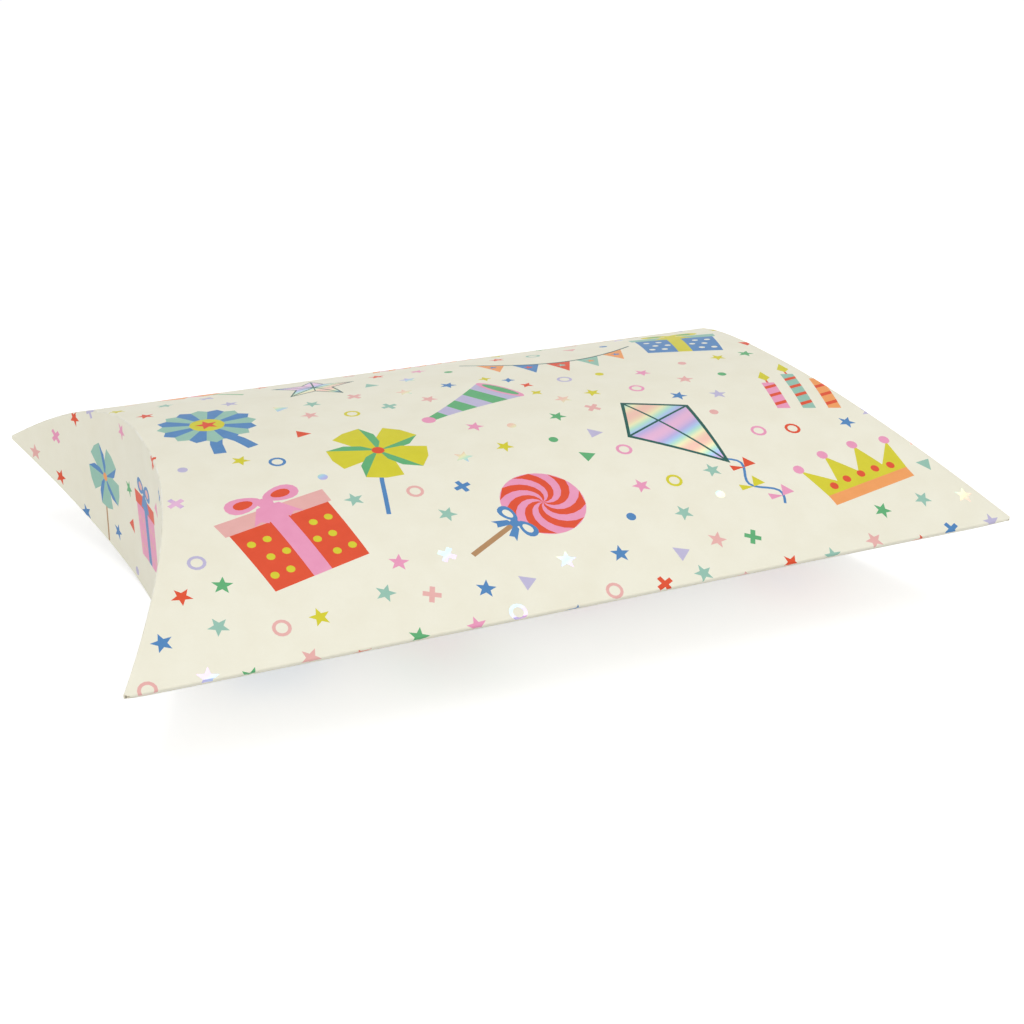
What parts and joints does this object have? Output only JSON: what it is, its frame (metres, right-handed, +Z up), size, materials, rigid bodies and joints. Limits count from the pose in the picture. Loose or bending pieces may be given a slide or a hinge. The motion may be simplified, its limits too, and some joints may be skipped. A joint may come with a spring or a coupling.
{
  "type": "pillow box",
  "caption": "Large gift pillow box of printed card: arched panels, a glued long edge and curved end flaps that fold open.",
  "frame": {"origin": "on the floor under the middle of the box, at the crown of the bottom panel", "axes": "+X along the box, +Y across it towards the glued edge, +Z up"},
  "size_m": [0.3482, 0.2474, 0.0725],
  "materials": {
    "printed_card": "satin",
    "glue": "satin"
  },
  "bodies": {
    "tube": {"top_panel": "printed_card", "bottom_panel": "printed_card", "side_fold": "printed_card", "glue_flap": "printed_card", "glue_line": "glue"},
    "left_outer_flap_body": {"left_outer_flap": "printed_card"},
    "left_inner_flap_body": {"left_inner_flap": "printed_card"},
    "right_outer_flap_body": {"right_outer_flap": "printed_card"},
    "right_inner_flap_body": {"right_inner_flap": "printed_card"}
  },
  "joints": [
    {"name": "left_outer_flap_crease", "type": "hinge", "parent": "tube", "child": "left_outer_flap_body", "pos_m": [-0.13875, 0, 0.0725], "axis": [0, 1, 0], "range_deg": [0, 90]},
    {"name": "left_inner_flap_crease", "type": "hinge", "parent": "tube", "child": "left_inner_flap_body", "pos_m": [-0.13772, 0, 0], "axis": [0, -1, 0], "range_deg": [0, 41]},
    {"name": "right_outer_flap_crease", "type": "hinge", "parent": "tube", "child": "right_outer_flap_body", "pos_m": [0.13875, 0, 0.0725], "axis": [0, -1, 0], "range_deg": [0, 90]},
    {"name": "right_inner_flap_crease", "type": "hinge", "parent": "tube", "child": "right_inner_flap_body", "pos_m": [0.13772, 0, 0], "axis": [0, 1, 0], "range_deg": [0, 41]}
  ],
  "couplings": [
    {"joint": "left_inner_flap_crease", "follows": "left_outer_flap_crease", "ratio": 0.45},
    {"joint": "right_inner_flap_crease", "follows": "right_outer_flap_crease", "ratio": 0.45}
  ]
}
